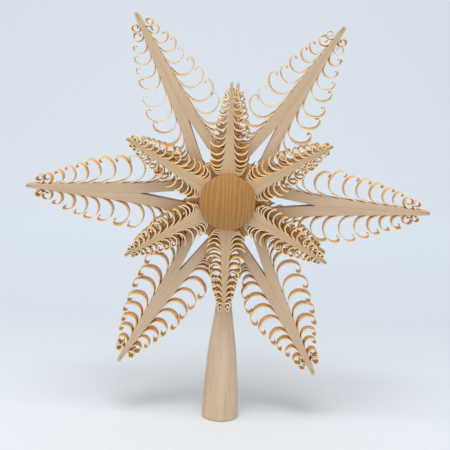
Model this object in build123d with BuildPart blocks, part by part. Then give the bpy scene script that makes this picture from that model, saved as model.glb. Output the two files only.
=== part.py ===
from build123d import *
import os
from math import atan, cos, degrees, pi, radians, sin, tan

os.makedirs("parts", exist_ok=True)

# A tree topper star of carved linden. It stands on the XY plane on the mouth of its
# socket, the star lies in the XZ plane, and -Y is the front. All sizes in millimetres.

# ---------------------------------------------------------------- sizes

glue_gap = 0.1               # radial room for glue round every peg and tenon
hour = 30.0                  # degrees between two hours of a clock face

# long rays, glued round the edge of the hub
long_tip_radius = 140.0      # star centre to the tip
long_depth = 10.0            # front-to-back width of the laths and their shavings
long_tip_half = 0.9          # half the blunt tip of a ray
long_flat_land = 4.8         # bare part of the hub's flat on each side of a ray
long_slit_length = 33.0      # open part of the V, next to the hub
long_slit_half = 4.5         # half the slit where it meets the hub
long_split_half = 7.6        # half the ray where the V opens and its legs splay
long_turn = 1.8              # the whole set sits this much clockwise, degrees

# short rays, one set on the front of the hub and one on the back
short_tip_radius = 80.0
short_depth = 8.0
short_tip_half = 1.1
short_base_radius = 12.5     # where the short rays meet round the middle
short_base_gap = 0.85        # half the gap between two rays there
short_waist_radius = 30.0    # the rays are slim down to here, then flare to the base
short_waist_half = 3.7
back_lean = {12: 3.0, 4: -2.0}   # rays of the back set glued in askew, degrees

# shavings
shaving_thick = 0.7
long_reach = 19.5            # how far the longest shaving of a long ray stands out
short_reach = 9.0
smallest_reach = 3.4
least_share = 0.22           # reach beside the tip as a share of the longest
pitch_ratio = 0.62           # step between two shavings over their reach
pitch_extra = 0.55
first_root = 0.085           # first and last root as shares of the ray's length
last_root = 0.96
peel_angle = 8.0             # angle at which a shaving leaves the edge
root_sink = 0.5              # depth of the shaving's root in the lath
neighbour_gap = 1.2          # free air kept between the shavings of two rays

# hub
hub_apothem = 28.0           # star centre to the flats that carry the long rays
hub_depth = 18.0
hub_chamfer = 0.8

# turned buttons
button_radius = 18.9
button_rim = 5.4
button_rise = 4.2
button_rim_chamfer = 0.5
peg_radius = 5.5
peg_depth = 6.0

# socket for the top shoot of the tree
bore_radius = 9.0
bore_length = 42.0
bore_cone = 5.0
bore_mouth_chamfer = 0.8
foot_chamfer = 0.9
foot_wall = 5.0              # wall round the bore at the foot, waist and shoulder
waist_wall = 4.4
shoulder_wall = 2.0
waist_height = 20.0
shoulder_above_bore = 8.0
neck_rise = 38.0             # shoulder to the thin part of the neck
neck_radius = 6.0
tenon_radius = 2.7
tenon_length = 13.0
tenon_shoulder = 0.7         # width of the shoulder that meets the hub
seat_margin = 0.4            # flat on the hub's corner, wider than the shoulder
seat_depth = 0.9             # how far that flat is cut into the corner
tips_below_neck = 10.0       # lowest short rays end this much below the neck's thin part

# ---------------------------------------------------------------- derived sizes

long_hours = (1, 3, 5, 7, 9, 11)
short_hours = (12, 2, 4, 6, 8, 10)
flat_half = hub_apothem * tan(radians(hour))
hub_corner = hub_apothem / cos(radians(hour))
long_base_half = flat_half - long_flat_land
short_base_half = short_base_radius * tan(radians(hour)) - short_base_gap
hub_face = hub_depth / 2
button_seat = hub_face + short_depth
shoulder_height = bore_length + shoulder_above_bore
neck_height = shoulder_height + neck_rise
star_height = neck_height - tips_below_neck + short_tip_radius
neck_top_radius = tenon_radius + tenon_shoulder
seat_height = star_height - hub_corner + seat_depth


def finish(part, name):
    """Name one finished piece and write its file."""
    part.label = name
    export_step(part, f"parts/{name}.step")


# ---------------------------------------------------------------- shaved laths


def ray_plane(clock_angle, y_near):
    """Plane of a ray: X out along the ray, Y to its clockwise side, Z to the back."""
    angle = radians(clock_angle)
    outward = (sin(angle), 0, cos(angle))
    return Plane(origin=(0, y_near, star_height), x_dir=outward, z_dir=(0, 1, 0))


def shaving_arcs(reach):
    """Radius and sweep of the arcs of one shaving, from its root to its hook."""
    hook_radius = max(1.15, 0.09 * reach)
    return (
        (0.90 * reach, 22.0),
        (0.45 * reach, 70.0),
        (0.55 * reach, 40.0),
        (0.32 * reach, 60.0),
        (hook_radius, 140.0),
    )


def edge_at(edge, root):
    """Half width of a ray, and the slope of its edge, at a distance from the tip."""
    for (start, start_half), (end, end_half) in zip(edge, edge[1:]):
        slope = (end_half - start_half) / (end - start)
        if root <= end:
            break
    return start_half + slope * (root - start), slope


def shaving_row(edge, tip_radius, full_reach, side_room, side_clear):
    """Root position and reach of every shaving along one edge, tip first."""
    length = edge[-1][0]
    row = []
    root = first_root * length
    while root < last_root * length:
        fullness = sin(pi * (root / length) ** 1.2)
        wanted = full_reach * (least_share + (1 - least_share) * fullness)
        middle = root + 0.6 * wanted
        room = (tip_radius - middle) * tan(radians(side_room)) - edge_at(edge, middle)[0]
        reach = min(max(smallest_reach, wanted), room - side_clear)
        if reach < smallest_reach:
            break
        row.append((root, reach))
        root += pitch_ratio * reach + pitch_extra
    return row


def make_lath(name, plane, depth, side, edge, tip_radius, slit_length, slit_half, row):
    """One half of a ray: a long mitred lath with the shavings raised on its edge."""
    base_radius = tip_radius - edge[-1][0]
    with BuildPart() as lath:
        with BuildSketch(plane):
            with BuildLine():
                Polyline(
                    (tip_radius, 0),
                    *[(tip_radius - root, side * half) for root, half in edge],
                    (base_radius, side * slit_half),
                    (base_radius + slit_length, 0),
                    (tip_radius, 0),
                )
            make_face()
            for root, reach in row:
                half, slope = edge_at(edge, root)
                foot = Vector(tip_radius - root, side * (half - root_sink))
                first_heading = side * (180.0 - degrees(atan(slope)) - peel_angle)
                along = Vector(cos(radians(first_heading)), sin(radians(first_heading)))
                across = Vector(-along.Y, along.X) * side
                with BuildLine():
                    ends = []
                    for offset in (shaving_thick / 2, -shaving_thick / 2):
                        start = foot + across * offset
                        point = start
                        heading = along
                        for radius, sweep in shaving_arcs(reach):
                            arc = JernArc(point, heading, radius + offset, -side * sweep)
                            point = arc @ 1
                            heading = arc % 1
                        ends.append((start, point))
                    Line(ends[0][0], ends[1][0])
                    Line(ends[0][1], ends[1][1])
                make_face()
        extrude(amount=depth)
    finish(lath.part, name)


# ---------------------------------------------------------------- long rays

long_edge = (
    (0, long_tip_half),
    (long_tip_radius - hub_apothem - long_slit_length, long_split_half),
    (long_tip_radius - hub_apothem, long_base_half),
)
for clock in long_hours:
    angle = hour * clock + long_turn
    for side_name, side in (("left", -1), ("right", 1)):
        beside_neck = (clock, side) in ((5, 1), (7, -1))
        side_room = abs(180.0 - angle) if beside_neck else hour
        side_clear = neck_radius + 2 * neighbour_gap if beside_neck else neighbour_gap
        long_row = shaving_row(long_edge, long_tip_radius, long_reach, side_room, side_clear)
        make_lath(f"long_ray_{clock:02d}_{side_name}_lath", ray_plane(angle, -long_depth / 2),
                  long_depth, side, long_edge, long_tip_radius, long_slit_length,
                  long_slit_half, long_row)

# ---------------------------------------------------------------- short rays

short_edge = (
    (0, short_tip_half),
    (short_tip_radius - short_waist_radius, short_waist_half),
    (short_tip_radius - short_base_radius, short_base_half),
)
short_row = shaving_row(short_edge, short_tip_radius, short_reach, hour, neighbour_gap / 2)
mitre_length = (short_tip_radius - short_base_radius) / 2
for set_name, lean, y_near in (
    ("front", {}, -button_seat),
    ("back", back_lean, hub_face),
):
    for clock in short_hours:
        angle = hour * clock + lean.get(clock, 0.0)
        for side_name, side in (("left", -1), ("right", 1)):
            make_lath(f"{set_name}_ray_{clock:02d}_{side_name}_lath",
                      ray_plane(angle, y_near), short_depth, side, short_edge,
                      short_tip_radius, mitre_length, 0.0, short_row)

# ---------------------------------------------------------------- hub

with BuildPart() as hub:
    with BuildSketch(Plane((0, -hub_face, star_height), x_dir=(1, 0, 0), z_dir=(0, -1, 0))):
        RegularPolygon(hub_apothem, 6, major_radius=False, rotation=hour - long_turn)
    extrude(amount=-hub_depth)
    chamfer(hub.faces().filter_by(Axis.Y).edges(), hub_chamfer)
    with Locations((0, 0, seat_height)):
        Cylinder(neck_top_radius + seat_margin, hub_apothem,
                 align=(Align.CENTER, Align.CENTER, Align.MAX), mode=Mode.SUBTRACT)
        Cylinder(tenon_radius + glue_gap, tenon_length + glue_gap,
                 align=(Align.CENTER, Align.CENTER, Align.MIN), mode=Mode.SUBTRACT)
    for face_y, turn_x in ((-hub_face, -90), (hub_face, 90)):
        with Locations(Location((0, face_y, star_height), (turn_x, 0, 0))):
            Cylinder(peg_radius + glue_gap, peg_depth + glue_gap,
                     align=(Align.CENTER, Align.CENTER, Align.MIN), mode=Mode.SUBTRACT)
finish(hub.part, "hub_block")

# ---------------------------------------------------------------- buttons

for button_name, outward in (("front_button", -1), ("back_button", 1)):
    with BuildPart() as button:
        with BuildSketch(Plane((0, 0, star_height), x_dir=(1, 0, 0), z_dir=(0, 0, outward))):
            rim_edge = (button_radius - button_rim_chamfer, button_seat + button_rim)
            dome_radius = (rim_edge[0] ** 2 + button_rise ** 2) / (2 * button_rise)
            with BuildLine():
                Polyline(
                    (0, button_seat + button_rim + button_rise),
                    (0, hub_face - peg_depth),
                    (peg_radius, hub_face - peg_depth),
                    (peg_radius, button_seat),
                    (button_radius, button_seat),
                    (button_radius, button_seat + button_rim - button_rim_chamfer),
                    rim_edge,
                )
                RadiusArc(rim_edge, (0, button_seat + button_rim + button_rise), -dome_radius)
            make_face()
        revolve(axis=Axis((0, 0, star_height), (0, 1, 0)))
    finish(button.part, button_name)

# ---------------------------------------------------------------- socket

with BuildPart() as socket:
    with BuildSketch(Plane.XZ):
        with BuildLine():
            side_line = Spline(
                (bore_radius + foot_wall, foot_chamfer),
                (bore_radius + waist_wall, waist_height),
                (bore_radius + shoulder_wall, shoulder_height),
                (neck_radius, neck_height),
                (neck_top_radius, seat_height),
            )
            Polyline(
                side_line @ 1,
                (tenon_radius, seat_height),
                (tenon_radius, seat_height + tenon_length),
                (0, seat_height + tenon_length),
                (0, bore_length + bore_cone),
                (bore_radius, bore_length),
                (bore_radius, bore_mouth_chamfer),
                (bore_radius + bore_mouth_chamfer, 0),
                (bore_radius + foot_wall - foot_chamfer, 0),
                side_line @ 0,
            )
        make_face()
    revolve(axis=Axis.Z)
finish(socket.part, "tree_socket")
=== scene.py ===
from math import atan, cos, pi, radians, sin, tan
from random import Random

import bmesh
import bpy
from mathutils import Matrix, Vector


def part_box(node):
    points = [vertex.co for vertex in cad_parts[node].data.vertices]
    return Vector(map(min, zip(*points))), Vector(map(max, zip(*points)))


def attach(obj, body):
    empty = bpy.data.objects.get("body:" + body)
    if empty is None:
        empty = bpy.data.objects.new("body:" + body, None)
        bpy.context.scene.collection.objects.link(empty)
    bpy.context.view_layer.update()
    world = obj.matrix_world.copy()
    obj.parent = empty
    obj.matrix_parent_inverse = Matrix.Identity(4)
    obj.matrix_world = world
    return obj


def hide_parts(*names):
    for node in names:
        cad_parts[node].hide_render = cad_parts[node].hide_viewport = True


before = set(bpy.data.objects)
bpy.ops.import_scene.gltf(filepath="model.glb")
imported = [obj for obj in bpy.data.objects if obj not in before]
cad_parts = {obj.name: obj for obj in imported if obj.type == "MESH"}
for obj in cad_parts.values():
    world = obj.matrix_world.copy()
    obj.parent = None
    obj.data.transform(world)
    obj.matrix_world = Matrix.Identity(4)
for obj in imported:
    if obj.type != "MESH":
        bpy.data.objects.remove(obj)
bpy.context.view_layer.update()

# ---------------------------------------------------------------------------
# Hub block. A hexagon sawn across a linden board, so that the end grain shows
# on its two faces, warmer than the planed rays. Its colour is painted paler
# than theirs: painted light that lifts the shade lying on the hub between the
# rays. The long rays are glued to its flats and the short rays to its faces.

# painted light: both hub colours are paler than the rays' to offset the shade on the hub; the warm
# tan is the end grain's own
HUB_PALE = "#F2CE9E"
HUB_DARK = "#DDB07E"
HUB_RING = 0.0138            # from one darker band of growth rings to the next
HUB_HEART = (0.03, 0.0, -0.11)   # moves the middle of the rings out of the block
HUB_PORE = 0.0004            # pores of the end grain, drawn a little coarse
WAVE_REPEAT = 0.314          # a wave texture of scale 1 repeats at this distance


def linear(code):
    """The linear colour of an sRGB hex code, with alpha."""
    shares = [int(code[i:i + 2], 16) / 255 for i in (1, 3, 5)]
    return [c / 12.92 if c <= 0.04045 else ((c + 0.055) / 1.055) ** 2.4 for c in shares] + [1.0]


def add_node(material, kind, links=None, values=None, **settings):
    """One shader node with its settings, its sockets' own values and the sockets that feed it."""
    new = material.node_tree.nodes.new(kind)
    for name, value in settings.items():
        setattr(new, name, value)
    for socket, value in (values or {}).items():
        new.inputs[socket].default_value = value
    for socket, source in (links or {}).items():
        material.node_tree.links.new(source, new.inputs[socket])
    return new


def new_finish(name, roughness):
    """An empty material and its principled shader."""
    material = bpy.data.materials.new(name)
    material.use_nodes = True
    shader = material.node_tree.nodes["Principled BSDF"]
    shader.inputs["Roughness"].default_value = roughness
    shader.inputs["IOR"].default_value = 1.5
    return material, shader


def set_stops(ramp, stops):
    """Gives a colour ramp its stops, as (position, hex colour)."""
    while len(ramp.color_ramp.elements) < len(stops):
        ramp.color_ramp.elements.new(0.5)
    for element, (position, code) in zip(ramp.color_ramp.elements, stops):
        element.position = position
        element.color = linear(code)


def lay_on(material, shader, colour, height, strength, distance):
    """Puts a colour and the relief of a height pattern on the principled shader."""
    bump = add_node(material, "ShaderNodeBump", {"Height": height},
                    {"Strength": strength, "Distance": distance})
    material.node_tree.links.new(colour, shader.inputs["Base Color"])
    material.node_tree.links.new(bump.outputs[0], shader.inputs["Normal"])


def make_end_grain():
    """Sawn linden end grain: warm tan, with faint curved rings and fine pores, quite dull. Its
    paleness is painted light.
    """
    material, shader = new_finish("linden_end_grain", 0.75)
    place = add_node(material, "ShaderNodeTexCoord").outputs["Object"]
    off_centre = add_node(material, "ShaderNodeMapping", {"Vector": place},
                          {"Location": HUB_HEART})
    rings = add_node(material, "ShaderNodeTexWave", {"Vector": off_centre.outputs[0]},
                     {"Scale": WAVE_REPEAT / HUB_RING, "Distortion": 1.4, "Detail": 2.0},
                     wave_type="RINGS", rings_direction="Y")
    pores = add_node(material, "ShaderNodeTexNoise", {"Vector": place},
                     {"Scale": 1 / HUB_PORE, "Detail": 2.0})
    both = add_node(material, "ShaderNodeMath",
                    {0: rings.outputs["Fac"], 1: pores.outputs["Fac"]}, operation="MULTIPLY")
    ramp = add_node(material, "ShaderNodeValToRGB", {"Fac": both.outputs[0]})
    set_stops(ramp, [(0.05, HUB_DARK), (0.6, HUB_PALE)])
    lay_on(material, shader, ramp.outputs[0], pores.outputs["Fac"], strength=0.25, distance=0.0002)
    return material


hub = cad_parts["hub_block"]
hub.data.materials.clear()
hub.data.materials.append(make_end_grain())

# ---------------------------------------------------------------------------
# Socket. Turned from one linden blank with the grain upright, drawn in from a
# wide foot to a thin neck and bored from below for the top shoot of the tree.
# A tenon on the neck is glued into the lowest corner of the hub.

SOCKET_PALE = "#D9C1A6"
SOCKET_DARK = "#C8AB8A"
LATHE_SEGMENTS = 96
FOOT_CHAMFER = 0.0009
BORE_RADIUS = 0.009
BORE_LENGTH = 0.042
BORE_CONE = 0.005
BORE_EDGE = 0.0008
TENON_RADIUS = 0.0027
TENON_LENGTH = 0.013
NECK_TOP_RADIUS = 0.0034
SOCKET_STATIONS = (          # height and radius of the outside, from the foot to the neck
    (FOOT_CHAMFER, 0.0130), (0.020, 0.01235), (0.050, 0.0099), (0.088, 0.0050),
)
SOCKET_RINGS = 40            # rings of faces up the outside
DRILL_POINT = 0.0002         # blunt end of the bore's cone
END_CENTRE = 0.0005          # a turned end is drawn in to this radius and closed
CREASE = 32.0                # a turned edge sharper than this stays crisp, degrees


def make_straight_grain(name, pale, dark, ring, fibre, roughness, relief, source="grain"):
    """Planed or turned linden: pale, with soft broad bands and fine fibre along the grain, Z.

    ring, fibre and relief are in metres. source is Object, or the attribute that gives the place.
    """
    material, shader = new_finish(name, roughness)
    if source == "Object":
        place = add_node(material, "ShaderNodeTexCoord").outputs["Object"]
    else:
        place = add_node(material, "ShaderNodeAttribute", attribute_name=source).outputs["Vector"]
    drawn_out = add_node(material, "ShaderNodeMapping", {"Vector": place},
                         {"Scale": (1.0, 1.0, 0.06)})
    bands = add_node(material, "ShaderNodeTexNoise", {"Vector": drawn_out.outputs[0]},
                     {"Scale": 0.5 / ring, "Detail": 3.0, "Roughness": 0.6})
    fibres = add_node(material, "ShaderNodeTexNoise", {"Vector": drawn_out.outputs[0]},
                      {"Scale": 0.5 / fibre, "Detail": 4.0, "Roughness": 0.7})
    mixed = add_node(material, "ShaderNodeMix",
                     {"A": bands.outputs["Fac"], "B": fibres.outputs["Fac"]},
                     {"Factor": 0.4}, data_type="FLOAT")
    ramp = add_node(material, "ShaderNodeValToRGB", {"Fac": mixed.outputs[0]})
    set_stops(ramp, [(0.32, dark), (0.58, pale)])
    lay_on(material, shader, ramp.outputs[0], fibres.outputs["Fac"], strength=0.3,
           distance=relief)
    return material


def start_fresh():
    """Leaves edit mode and selects nothing, so that the next operator acts on new work alone."""
    if bpy.context.object and bpy.context.object.mode != "OBJECT":
        bpy.ops.object.mode_set(mode="OBJECT")
    bpy.ops.object.select_all(action="DESELECT")


def turn_on_lathe(name, centre, turn, profile):
    """A turned piece: one ring drawn out along its profile of (height, radius), both ends closed."""
    start_fresh()
    bpy.ops.mesh.primitive_circle_add(vertices=LATHE_SEGMENTS, radius=profile[0][1],
                                      location=(0, 0, profile[0][0]))
    piece = bpy.context.object
    piece.name = name
    bpy.ops.object.transform_apply()
    bpy.ops.object.mode_set(mode="EDIT")
    bpy.ops.mesh.select_all(action="SELECT")
    for (height, radius), (next_height, next_radius) in zip(profile, profile[1:]):
        bpy.ops.mesh.extrude_edges_move(
            TRANSFORM_OT_translate={"value": (0, 0, next_height - height)})
        share = next_radius / radius
        bpy.ops.transform.resize(value=(share, share, 1), center_override=(0, 0, next_height))
    bpy.ops.mesh.select_all(action="SELECT")
    bpy.ops.mesh.remove_doubles(threshold=0.00001)
    bpy.ops.mesh.select_all(action="DESELECT")
    bpy.ops.mesh.select_non_manifold()
    bpy.ops.mesh.edge_face_add()
    bpy.ops.mesh.select_all(action="SELECT")
    bpy.ops.mesh.normals_make_consistent(inside=False)
    bpy.ops.object.mode_set(mode="OBJECT")
    bpy.ops.object.shade_smooth_by_angle(angle=radians(CREASE))
    piece.data.transform(Matrix.Translation(centre) @ turn)
    return piece


def drawn_radius(stations, height):
    """Radius of a fair curve through the stations, as (height, radius), at this height."""
    extended = [(2 * stations[0][0] - stations[1][0], 2 * stations[0][1] - stations[1][1])]
    extended += list(stations)
    extended += [(2 * stations[-1][0] - stations[-2][0], 2 * stations[-1][1] - stations[-2][1])]
    for before, low, high, after in zip(extended, extended[1:], extended[2:], extended[3:]):
        if height <= high[0] or high is extended[-2]:
            step = high[0] - low[0]
            t = (height - low[0]) / step
            slope_low = (high[1] - before[1]) / (high[0] - before[0]) * step
            slope_high = (after[1] - low[1]) / (after[0] - low[0]) * step
            return ((2 * t**3 - 3 * t**2 + 1) * low[1] + (t**3 - 2 * t**2 + t) * slope_low
                    + (-2 * t**3 + 3 * t**2) * high[1] + (t**3 - t**2) * slope_high)


socket_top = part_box("tree_socket")[1].z
neck_top = socket_top - TENON_LENGTH
stations = SOCKET_STATIONS + ((neck_top, NECK_TOP_RADIUS),)
foot_radius = SOCKET_STATIONS[0][1]
bore_wall = [(BORE_LENGTH + BORE_CONE, DRILL_POINT), (BORE_LENGTH, BORE_RADIUS),
             (BORE_EDGE, BORE_RADIUS), (0.0, BORE_RADIUS + BORE_EDGE)]
foot_ring = [(0.0, foot_radius - FOOT_CHAMFER)]
outside = []
for i in range(SOCKET_RINGS + 1):
    height = FOOT_CHAMFER + (neck_top - FOOT_CHAMFER) * i / SOCKET_RINGS
    outside.append((height, drawn_radius(stations, height)))
tenon = [(neck_top, TENON_RADIUS), (socket_top, TENON_RADIUS), (socket_top, END_CENTRE)]
socket = turn_on_lathe("turned_socket", Vector((0, 0, 0)), Matrix.Identity(4),
                       bore_wall + foot_ring + outside + tenon)
socket.data.materials.append(make_straight_grain(
    "turned_linden", SOCKET_PALE, SOCKET_DARK, ring=0.0018, fibre=0.0004, roughness=0.55,
    relief=0.0001, source="Object"))
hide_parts("tree_socket")
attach(socket, "root")

# ---------------------------------------------------------------------------
# Long rays. Six narrow points round the edge of the hub, each two straight
# linden laths mitred together at the tip and sprung open at the hub. A knife
# raises the shavings along their outer edges; each stays attached and rolls up.

LATH_PALE = "#D2B89A"
LATH_DARK = "#C5A887"
# partly painted light: the golden tone is the shavings' own, but its depth and warmth also paint the
# warm light bounced between the curls and the shade inside them
SHAVING_PALE = "#F2C477"
SHAVING_DARK = "#CE9240"
EDGE_PALE = "#FBE3BE"
EDGE_DARK = "#EAC28E"
HOUR = 30.0                  # degrees between two hours of a clock face
LONG_TURN = 1.8              # the whole set sits this much clockwise, degrees
LONG_CLOCK = (1, 3, 5, 7, 9, 11)
NECK_ROOM = 0.006            # half the room kept for the neck between the two lowest rays
AIR = 0.0012                 # left free between the shavings of two rays
SLANT = {                    # how far askew the knife lies at the hub, degrees, by the clock
    12: 14.0, 1: 7.0, 2: 13.0, 3: 1.0, 4: -4.0, 5: -3.0,
    6: -6.0, 7: -3.0, 8: -4.0, 9: 0.0, 10: 13.0, 11: 7.0,
}

NOTCH = 0.0005               # depth of the step that a lifted shaving leaves
NOTCH_RUN = 0.0012           # length of that step
TIP_GAP = 0.0003             # the mitre stands a little open at the very tip
TIP_GAP_RUN = 0.006          # and closes over this length
EASED = 0.00015              # taken off the lath's corners with fine paper
EASED_FROM = 50.0            # where they are sharper than this, degrees

PEEL = 7.0                   # angle at which a shaving leaves the edge, degrees
THICK = 0.0010               # thickness of a shaving at its root
THINNING = 0.90              # its thickness after each arc of its roll, as a share
NARROWING = 0.98             # and its width
STRIP_WIDTH = 0.97           # its width at the root as a share of the lath's depth
HELD_ROOT = 0.0006           # it starts inside the lath, this much nearer the tip
LEAST_HOOK = 0.0012          # radius of the tightest roll at its end
STRIP_CREASE = 40.0          # its long edges stay crisp, as they are sharper than this, degrees
GRAIN_RUN = 0.4              # how fast the grain changes along the strip
SQUARE_ON = 0.7              # a face looks along an axis if its normal has this share of it

SMALLEST = 0.0034            # reach of the smallest shaving
LEAST_REACH = 0.22           # reach beside the tip as a share of the longest
SWELL = 1.2                  # above 1, the longest shavings stand nearer the hub
LONGEST_AT = 0.56            # where they stand, as a share of the length from the tip
STAY_LONG = 0.7              # below 1, those between there and the hub stay long
BELLY = 0.45                 # a shaving is broadest this share of its reach past its root
CROWD_FROM = 0.58            # from this share of the length the shavings crowd together
CROWD_RUN = 0.2              # over this share they come as near as they get
CROWD_MOST = 0.42            # share by which the step between two roots is then shorter
COILED = 2                   # so many shavings beside the tip are rolled right up

LONG = {
    "tip": 0.140,            # star centre to the tip
    "edge": ((0.0, 0.0008), (0.0012, 0.0014), (0.079, 0.0074), (0.112, 0.011366)),
    "slit": 0.033,           # open part of the V, next to the hub
    "slit_half": 0.0045,
    "depth": 0.010,
    "reach": 0.0190,         # how far the longest shaving stands out
    "step": 0.0026,          # from one root to the next, and to this is added
    "spread": 0.40,          # this share of the reach
    "first": 0.085,          # first and last root, as shares of the length
    "open_from": 0.72,       # from here on, as a share of the length, the ends stay open
    "last": 0.985,
}

button_low, button_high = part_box("front_button")
star_centre = Vector((0, 0, (button_low.z + button_high.z) / 2))


def half_width(ray, root):
    """Half width of the ray and the slope of its edge, at this distance from the tip."""
    for (start, start_half), (end, end_half) in zip(ray["edge"], ray["edge"][1:]):
        slope = (end_half - start_half) / (end - start)
        if root <= end:
            break
    return start_half + slope * (root - start), slope


def shaving_row(ray, side_room, side_air):
    """Root distance from the tip and reach of every shaving along one edge, tip first."""
    length = ray["edge"][-1][0]
    row = []
    root = ray["first"] * length
    while root < ray["last"] * length:
        share = root / length
        fullness = sin(pi * share ** SWELL) ** (1.0 if share < LONGEST_AT else STAY_LONG)
        wanted = ray["reach"] * (LEAST_REACH + (1 - LEAST_REACH) * fullness)
        belly = root + BELLY * wanted
        room = (ray["tip"] - belly) * tan(radians(side_room)) - half_width(ray, belly)[0]
        reach = min(max(SMALLEST, wanted), room - side_air)
        if reach < SMALLEST:
            break
        row.append((root, reach))
        crowding = CROWD_MOST * min(1.0, max(0.0, (share - CROWD_FROM) / CROWD_RUN))
        root += (ray["step"] + ray["spread"] * reach) * (1 - crowding)
    return row


def make_shaving_wood(name, pale, dark, roughness):
    """Knife-cut linden shaving: satin, with fine fibre along the strip; light shines through it."""
    material = make_straight_grain(name, pale, dark, ring=0.0015, fibre=0.0005,
                                   roughness=roughness, relief=0.00003)
    shader = material.node_tree.nodes["Principled BSDF"]
    shader.inputs["Subsurface Weight"].default_value = 0.85
    shader.inputs["Subsurface Radius"].default_value = (1.0, 0.78, 0.36)
    shader.inputs["Subsurface Scale"].default_value = 0.0014
    return material


def make_board(name, pale, dark):
    """Planed linden board, matte."""
    return make_straight_grain(name, pale, dark, ring=0.0022, fibre=0.0004, roughness=0.6,
                               relief=0.00008)


long_board = make_board("planed_linden", LATH_PALE, LATH_DARK)
shaving_woods = (
    make_shaving_wood("linden_shaving_face", SHAVING_PALE, SHAVING_DARK, roughness=0.42),
    make_shaving_wood("linden_shaving_edge", EDGE_PALE, EDGE_DARK, roughness=0.6),
)


def mark_grain(piece, along):
    """Keeps on every point where it lies in its lath, for the grain: along(point) gives it."""
    grain = piece.data.attributes.new("grain", "FLOAT_VECTOR", "POINT")
    for point, vertex in zip(grain.data, piece.data.vertices):
        point.vector = along(vertex.co)


def model_blade(name, ray, row, y_middle, board):
    """Right lath of a ray that points straight up, drawn down from its tip through stations."""
    length = ray["edge"][-1][0]
    tip_z = star_centre.z + ray["tip"]
    stops = {0.0, TIP_GAP_RUN, length - ray["slit"], length}
    stops |= {distance for distance, _ in ray["edge"]}
    stations = [(stop, half_width(ray, stop)[0]) for stop in stops]
    for root, _ in row:
        stations.append((root, half_width(ray, root)[0]))
        stations.append((root + NOTCH_RUN, half_width(ray, root + NOTCH_RUN)[0] - NOTCH))
    stations.sort()
    start_fresh()
    bpy.ops.mesh.primitive_plane_add(size=1, location=(0.5, y_middle, tip_z))
    blade = bpy.context.object
    blade.name = name
    blade.scale = (1, ray["depth"], 1)
    bpy.ops.object.transform_apply()
    bpy.ops.object.mode_set(mode="EDIT")
    bpy.ops.mesh.select_all(action="SELECT")
    # the plane starts a metre wide and takes its size and place from each station
    inner_before, outer_before, distance_before = 0.0, 1.0, 0.0
    for i, (distance, outer) in enumerate(stations):
        if i:
            bpy.ops.mesh.extrude_region_move(
                TRANSFORM_OT_translate={"value": (0, 0, distance_before - distance)})
        gap = TIP_GAP * max(0.0, 1 - distance / TIP_GAP_RUN)
        opened = ray["slit_half"] * max(0.0, 1 - (length - distance) / ray["slit"])
        inner = gap + opened
        share = (outer - inner) / (outer_before - inner_before)
        bpy.ops.transform.resize(value=(share, 1, 1),
                                 center_override=(inner_before, y_middle, tip_z - distance))
        bpy.ops.transform.translate(value=(inner - inner_before, 0, 0))
        inner_before, outer_before, distance_before = inner, outer, distance
    bpy.ops.mesh.select_all(action="SELECT")
    bpy.ops.mesh.normals_make_consistent(inside=False)
    bpy.ops.object.mode_set(mode="OBJECT")
    bevel = blade.modifiers.new("eased edges", "BEVEL")
    bevel.width = EASED
    bevel.segments = 1
    bevel.limit_method = "ANGLE"
    bevel.angle_limit = radians(EASED_FROM)
    bpy.ops.object.modifier_apply(modifier=bevel.name)
    for wood in (board,) + shaving_woods:
        blade.data.materials.append(wood)
    for polygon in blade.data.polygons:
        polygon.material_index = 1 if polygon.normal.x > SQUARE_ON else 0
    mark_grain(blade, lambda place: place - star_centre)
    return blade


def shaving_arcs(kind, reach):
    """Radius, sweep and steps of the arcs that a shaving rolls through, from its root."""
    if kind == "coil":
        return ((0.60 * reach, 25.0, 1), (0.45 * reach, 110.0, 5), (0.36 * reach, 120.0, 5),
                (0.25 * reach, 140.0, 5))
    if kind == "open":
        return ((0.90 * reach, 22.0, 1), (0.55 * reach, 62.0, 4), (0.65 * reach, 48.0, 3),
                (0.25 * reach, 25.0, 1))
    return ((0.90 * reach, 22.0, 1), (0.45 * reach, 70.0, 4), (0.55 * reach, 40.0, 2),
            (0.32 * reach, 60.0, 3), (max(LEAST_HOOK, 0.095 * reach), 150.0, 5))


def model_shaving(name, ray, root, reach, kind, y_middle, board):
    """One shaving of the upright ray's right edge: a thin strip spun through its arcs."""
    start = root - HELD_ROOT
    half, slope = half_width(ray, start)
    spot = Vector((half - THICK / 2, y_middle, star_centre.z + ray["tip"] - start))
    lean = atan(slope) + radians(PEEL)
    start_fresh()
    bpy.ops.mesh.primitive_plane_add(size=1, location=spot, rotation=(0, pi - lean, 0))
    shaving = bpy.context.object
    shaving.name = name
    shaving.scale = (THICK, ray["depth"] * STRIP_WIDTH, 1)
    bpy.ops.object.transform_apply()
    bpy.ops.object.mode_set(mode="EDIT")
    bpy.ops.mesh.select_all(action="SELECT")
    for radius, sweep, steps in shaving_arcs(kind, reach):
        middle = spot + Vector((cos(lean), 0, sin(lean))) * radius
        bpy.ops.mesh.spin(steps=steps, angle=radians(sweep), center=middle, axis=(0, 1, 0))
        lean += radians(sweep)
        spot = middle - Vector((cos(lean), 0, sin(lean))) * radius
        bpy.ops.transform.resize(value=(THINNING, NARROWING, THINNING), center_override=spot)
    bpy.ops.mesh.select_all(action="SELECT")
    bpy.ops.mesh.remove_doubles(threshold=0.000001)
    bpy.ops.mesh.normals_make_consistent(inside=False)
    bpy.ops.object.mode_set(mode="OBJECT")
    bpy.ops.object.shade_smooth_by_angle(angle=radians(STRIP_CREASE))
    for wood in (board,) + shaving_woods:
        shaving.data.materials.append(wood)
    for polygon in shaving.data.polygons:
        polygon.material_index = 2 if abs(polygon.normal.y) > SQUARE_ON else 1
    mark_grain(shaving, lambda place: Vector((root, place.y, GRAIN_RUN * (place.x + place.z))))
    return shaving


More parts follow.
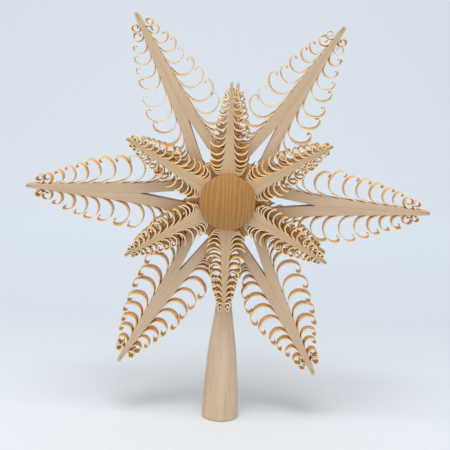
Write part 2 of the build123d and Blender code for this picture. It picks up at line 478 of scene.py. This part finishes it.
def model_row(name, ray, side_room, side_air, y_middle, board):
    """The blade of one lath and its shavings, each with the root that it turns about."""
    row = shaving_row(ray, side_room, side_air)
    length = ray["edge"][-1][0]
    shavings = []
    for i, (root, reach) in enumerate(row):
        kind = "curl"
        if i < COILED:
            kind = "coil"
        elif root > ray["open_from"] * length:
            kind = "open"
        root_z = star_centre.z + ray["tip"] - root
        root_place = Vector((half_width(ray, root)[0], y_middle, root_z))
        shaving = model_shaving("%s_%d" % (name, i), ray, root, reach, kind, y_middle, board)
        shavings.append((shaving, root_place))
    return model_blade(name + "_blade", ray, row, y_middle, board), shavings


chance = Random(5)           # the star comes out the same each time
SIZES = (0.93, 1.05)         # a shaving's size against its pattern's, drawn by chance
WIDTHS = (0.90, 1.0)         # and its width
TURNS = (-5, 5)              # degrees, in the plane of the star and out of it
LEANS = (-3, 3)              # degrees, on top of the knife's slant
NEAR_TIP = 0.2               # share of the knife's slant that it has at the tip


def carve_lath(name, pattern, side, clock_angle, slant):
    """One finished lath: the pattern's blade and shavings, each a little unlike, set at its hour.

    slant is how askew the knife lies across the edge by the time it reaches the hub, in degrees.
    """
    blade, shavings = pattern
    copies = [blade.copy()]
    copies[0].data = blade.data.copy()
    for i, (shaving, root_place) in enumerate(shavings):
        piece = shaving.copy()
        piece.data = shaving.data.copy()
        size = chance.uniform(*SIZES)
        share = NEAR_TIP + (1 - NEAR_TIP) * i / len(shavings)
        askew = slant * share + chance.uniform(*LEANS)
        vary = (Matrix.Rotation(radians(chance.uniform(*TURNS)), 4, "Y")
                @ Matrix.Rotation(radians(chance.uniform(*TURNS)), 4, "Z")
                @ Matrix.Rotation(radians(askew), 4, "X")
                @ Matrix.Diagonal((size, chance.uniform(*WIDTHS), size, 1)))
        piece.data.transform(Matrix.Translation(root_place) @ vary
                             @ Matrix.Translation(-root_place))
        copies.append(piece)
    start_fresh()
    for piece in copies:
        bpy.context.collection.objects.link(piece)
        piece.select_set(True)
    lath = copies[0]
    bpy.context.view_layer.objects.active = lath
    bpy.ops.object.join()
    lath.name = name
    from_board = Vector([chance.uniform(-1, 1) for _ in range(3)])
    for point in lath.data.attributes["grain"].data:
        point.vector = Vector(point.vector) + from_board
    if side < 0:
        lath.data.transform(Matrix.Diagonal((-1, 1, 1, 1)))
        lath.data.flip_normals()
    lath.data.transform(Matrix.Translation(star_centre)
                        @ Matrix.Rotation(radians(clock_angle), 4, "Y")
                        @ Matrix.Translation(-star_centre))
    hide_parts(name + "_lath")
    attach(lath, "root")


def clear_patterns(*patterns):
    """Takes the patterns away once every lath has been made from them."""
    for blade, shavings in patterns:
        for piece in [blade] + [shaving for shaving, _ in shavings]:
            bpy.data.objects.remove(piece)


low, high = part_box("long_ray_03_left_lath")
long_middle = (low.y + high.y) / 2
free_row = model_row("long", LONG, HOUR, AIR, long_middle, long_board)
# the two laths beside the socket's neck have shorter shavings, which leave room for it
neck_air = NECK_ROOM + 2 * AIR
neck_rows = {
    (5, 1): model_row("long_5", LONG, HOUR - LONG_TURN, neck_air, long_middle, long_board),
    (7, -1): model_row("long_7", LONG, HOUR + LONG_TURN, neck_air, long_middle, long_board),
}
for clock in LONG_CLOCK:
    for side_name, side in (("left", -1), ("right", 1)):
        pattern = neck_rows.get((clock, side), free_row)
        name = "long_ray_%02d_%s" % (clock, side_name)
        carve_lath(name, pattern, side, HOUR * clock + LONG_TURN, SLANT[clock])
clear_patterns(free_row, *neck_rows.values())

# ---------------------------------------------------------------------------
# Short rays. Six on the front face of the hub and six on its back, over the gaps
# between the long ones. Each is two laths glued edge to edge all the way, shaved
# like the long ones but left broad at the base, which the button holds down.

SHORT = {
    "tip": 0.080,
    "edge": ((0.0, 0.0007), (0.0012, 0.0010), (0.035, 0.0028), (0.050, 0.0036),
             (0.0585, 0.0046), (0.0675, 0.006367)),
    "slit": 0.001,
    "slit_half": 0.0,        # closed: the two laths meet all the way
    "depth": 0.008,
    "reach": 0.0092,
    "step": 0.0016,
    "spread": 0.40,
    "first": 0.085,
    "open_from": 0.52,
    "last": 0.93,
}
FRONT_PALE = "#D0B28B"
FRONT_DARK = "#C5A67E"
# painted light: the back set's boards are coloured more golden than the front set's to paint the
# warm light that shines through the shavings onto them
BACK_PALE = "#E0BB88"
BACK_DARK = "#CB9C60"
SHORT_CLOCK = (12, 2, 4, 6, 8, 10)
BACK_LEAN = {12: 3.0, 4: -2.0}       # rays of the back set glued in askew, degrees
BACK_ROW = dict(SHORT, first=0.12)   # its shavings show between those of the front set

for set_name, ray, lean, pale, dark in (("front", SHORT, {}, FRONT_PALE, FRONT_DARK),
                                        ("back", BACK_ROW, BACK_LEAN, BACK_PALE, BACK_DARK)):
    board = make_board("planed_linden_" + set_name, pale, dark)
    low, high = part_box(set_name + "_ray_02_left_lath")
    pattern = model_row(set_name, ray, HOUR, AIR / 2, (low.y + high.y) / 2, board)
    for clock in SHORT_CLOCK:
        for side_name, side in (("left", -1), ("right", 1)):
            name = "%s_ray_%02d_%s" % (set_name, clock, side_name)
            carve_lath(name, pattern, side, HOUR * clock + lean.get(clock, 0.0), SLANT[clock])
    clear_patterns(pattern)

# ---------------------------------------------------------------------------
# Buttons. A turned disc with a low dome, one on the front and one on the back,
# covers the ends of the short rays. Each is cut from a resinous softwood board
# whose rings stand upright on its face, and its peg is glued into the hub.

BUTTON_PALE = "#BD8A48"
BUTTON_DARK = "#9A672A"
BUTTON_RING = 0.0028         # growth rings across the face
BUTTON_FIBRE = 0.0006        # fibres, drawn a little coarse
BUTTON_LEAN = 5.0            # the rings lean a little to the right, degrees
BUTTON_WANDER = 3.2          # how far chance may shift a ring, in rings
BUTTON_RIM = 0.0054          # height of the straight side
RIM_EASE = 0.0010            # rounding between the side and the dome
RIM_MIDDLE = 0.3             # how far in its middle lies, as a share of it
SEAT_EASE = 0.0003           # edge that lies on the rays
DOME_RINGS = 15              # rings of faces from the rim to the middle
PEG_RADIUS = 0.0055
CENTRE_MARK = 0.0012         # radius of the pit that the lathe's centre leaves
CENTRE_DEPTH = 0.0005


def make_button_wood():
    """Turned softwood, satin: upright rings of uneven width, each paler and then darker."""
    material, shader = new_finish("turned_softwood", 0.5)
    place = add_node(material, "ShaderNodeTexCoord").outputs["Object"]
    leaned = add_node(material, "ShaderNodeMapping", {"Vector": place},
                      {"Rotation": (0.0, radians(-BUTTON_LEAN), 0.0), "Scale": (1.0, 1.0, 0.22)})
    wander = add_node(material, "ShaderNodeTexNoise", {"Vector": leaned.outputs[0]},
                      {"Scale": 0.22 / BUTTON_RING, "Detail": 2.0})
    shifted = add_node(material, "ShaderNodeVectorMath",
                       {0: wander.outputs["Color"], 2: leaned.outputs[0]},
                       {1: (BUTTON_WANDER * BUTTON_RING, 0.0, 0.0)}, operation="MULTIPLY_ADD")
    rings = add_node(material, "ShaderNodeTexWave", {"Vector": shifted.outputs[0]},
                     {"Scale": WAVE_REPEAT / BUTTON_RING, "Distortion": 0.0},
                     wave_type="BANDS", bands_direction="X", wave_profile="SIN")
    drawn_out = add_node(material, "ShaderNodeMapping", {"Vector": place},
                         {"Scale": (1.0, 1.0, 0.05)})
    fibres = add_node(material, "ShaderNodeTexNoise", {"Vector": drawn_out.outputs[0]},
                      {"Scale": 0.5 / BUTTON_FIBRE, "Detail": 4.0, "Roughness": 0.7})
    mixed = add_node(material, "ShaderNodeMix",
                     {"A": rings.outputs["Fac"], "B": fibres.outputs["Fac"]},
                     {"Factor": 0.6}, data_type="FLOAT")
    ramp = add_node(material, "ShaderNodeValToRGB", {"Fac": mixed.outputs[0]})
    set_stops(ramp, [(0.1, BUTTON_PALE), (0.95, BUTTON_DARK)])
    lay_on(material, shader, ramp.outputs[0], mixed.outputs[0], strength=0.15, distance=0.0001)
    return material


button_wood = make_button_wood()
for node, turn in (("front_button", radians(90)), ("back_button", radians(-90))):
    low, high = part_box(node)
    radius = (high.x - low.x) / 2
    peg_foot = min(abs(low.y), abs(high.y))
    top = max(abs(low.y), abs(high.y))
    ray_low, ray_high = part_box(node.split("_")[0] + "_ray_02_left_lath")
    seat = max(abs(ray_low.y), abs(ray_high.y))
    rise = top - seat - BUTTON_RIM
    dome_radius = ((radius - RIM_EASE) ** 2 + rise ** 2) / (2 * rise)
    profile = [(peg_foot, END_CENTRE), (peg_foot, PEG_RADIUS), (seat, PEG_RADIUS),
               (seat, radius - SEAT_EASE), (seat + SEAT_EASE, radius),
               (seat + BUTTON_RIM - RIM_EASE, radius),
               (seat + BUTTON_RIM - RIM_EASE * RIM_MIDDLE, radius - RIM_EASE * RIM_MIDDLE),
               (seat + BUTTON_RIM, radius - RIM_EASE)]
    for i in range(1, DOME_RINGS):
        inward = i / DOME_RINGS
        out = (radius - RIM_EASE) * (1 - inward) + CENTRE_MARK * inward
        profile.append((top - dome_radius + (dome_radius ** 2 - out ** 2) ** 0.5, out))
    profile.append((top - CENTRE_DEPTH, CENTRE_MARK / 2))
    button = turn_on_lathe("turned_" + node, star_centre, Matrix.Rotation(turn, 4, "X"), profile)
    button.data.materials.append(button_wood)
    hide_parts(node)
    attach(button, "root")

# ---------------------------------------------------------------------------
# Stage. A roll of pale paper that runs from the floor up the wall in one sweep,
# a broad soft light overhead, a weak one in front, and the pale light of a room.

# painted light and shade on the paper: the middle colour is a painted shade band on the floor behind
# the piece, and the wall is painted paler and bluer than the floor
PAPER_FLOOR = "#E7EDF4"
PAPER_PAINTED_SHADE = "#DDE5EE"
PAPER_WALL = "#ECF5FF"
PAPER_WIDTH = 8
PAPER_FRONT = 2.5            # how far the floor runs in front of the piece
PAPER_RISE = 2.5             # how far the wall goes on above the sweep
SWEEP_START = 0.7            # how far behind the piece the paper starts to rise
SWEEP_RADIUS = 0.9
ROOM_COLOUR = "#F7F5F1"
ROOM_LIGHT = 0.62


def make_paper():
    """Matte background paper, faintly fibrous, with painted light and shade: pale on the floor, a
    painted shade band behind the piece, and painted light up the wall, which is paler and cooler.
    """
    material, shader = new_finish("studio_paper", 0.9)
    place = add_node(material, "ShaderNodeTexCoord").outputs["Object"]
    split = add_node(material, "ShaderNodeSeparateXYZ", {"Vector": place})
    ramp = add_node(material, "ShaderNodeValToRGB", {"Fac": split.outputs["Y"]})
    # painted shade and light: the floor darkens to a band a quarter metre behind the piece, then the
    # paper turns paler and bluer up the wall
    set_stops(ramp, [(0.0, PAPER_FLOOR), (0.25, PAPER_PAINTED_SHADE), (0.75, PAPER_WALL)])
    fibres = add_node(material, "ShaderNodeTexNoise", {"Vector": place}, {"Scale": 300.0})
    lay_on(material, shader, ramp.outputs[0], fibres.outputs["Fac"], strength=0.1, distance=0.0002)
    return material


scene = bpy.context.scene
start_fresh()
bpy.ops.mesh.primitive_grid_add(x_subdivisions=1, y_subdivisions=12, size=1)
paper = bpy.context.object
paper.name = "studio_paper"
paper.scale = (PAPER_WIDTH, PAPER_FRONT + SWEEP_START, 1)
paper.location = (0, (SWEEP_START - PAPER_FRONT) / 2, 0)
bpy.ops.object.transform_apply()
bpy.ops.object.mode_set(mode="EDIT")
bpy.ops.mesh.select_all(action="DESELECT")
sheet = bmesh.from_edit_mesh(paper.data)
for edge in sheet.edges:
    edge.select_set(all(abs(vertex.co.y - SWEEP_START) < 0.001 for vertex in edge.verts))
bmesh.update_edit_mesh(paper.data)
bpy.ops.mesh.spin(steps=24, angle=radians(90), center=(0, SWEEP_START, SWEEP_RADIUS),
                  axis=(-1, 0, 0))
bpy.ops.mesh.extrude_edges_move(TRANSFORM_OT_translate={"value": (0, 0, PAPER_RISE)})
bpy.ops.mesh.select_all(action="SELECT")
bpy.ops.mesh.remove_doubles(threshold=0.0001)
bpy.ops.mesh.normals_make_consistent(inside=False)
bpy.ops.object.mode_set(mode="OBJECT")
bpy.ops.object.shade_smooth()
paper.data.materials.append(make_paper())

scene.world = bpy.data.worlds.new("studio_air")
scene.world.use_nodes = True
room = scene.world.node_tree.nodes["Background"]
room.inputs["Color"].default_value = linear(ROOM_COLOUR)
room.inputs["Strength"].default_value = ROOM_LIGHT


def hang_light(name, place, size, power):
    """A square, white, soft light that faces the middle of the star."""
    lamp = bpy.data.lights.new(name, "AREA")
    lamp.shape = "SQUARE"
    lamp.size = size
    lamp.energy = power
    light = bpy.data.objects.new(name, lamp)
    scene.collection.objects.link(light)
    light.location = place
    light.rotation_euler = (star_centre - Vector(place)).to_track_quat("-Z", "Y").to_euler()


hang_light("overhead_softbox", (-0.10, -0.50, 1.65), size=0.9, power=14.5)
hang_light("front_fill", (-0.4, -1.7, 0.6), size=1.2, power=3.0)

CAMERA_FROM_STAR = Vector((0.0042, -0.5857, 0.0755))
CAMERA_TURN = 0.0093         # radians, to the left
CAMERA_DOWN = 0.1593         # radians, below level
CAMERA_ROLL = 0.0375         # radians

camera_data = bpy.data.cameras.new("camera")
camera_data.sensor_width = 36
camera_data.lens = 68
camera = bpy.data.objects.new("camera", camera_data)
scene.collection.objects.link(camera)
camera.matrix_world = (Matrix.Translation(star_centre + CAMERA_FROM_STAR)
                       @ Matrix.Rotation(CAMERA_TURN, 4, "Z")
                       @ Matrix.Rotation(pi / 2 - CAMERA_DOWN, 4, "X")
                       @ Matrix.Rotation(CAMERA_ROLL, 4, "Z"))
scene.camera = camera
scene.view_settings.view_transform = "Standard"
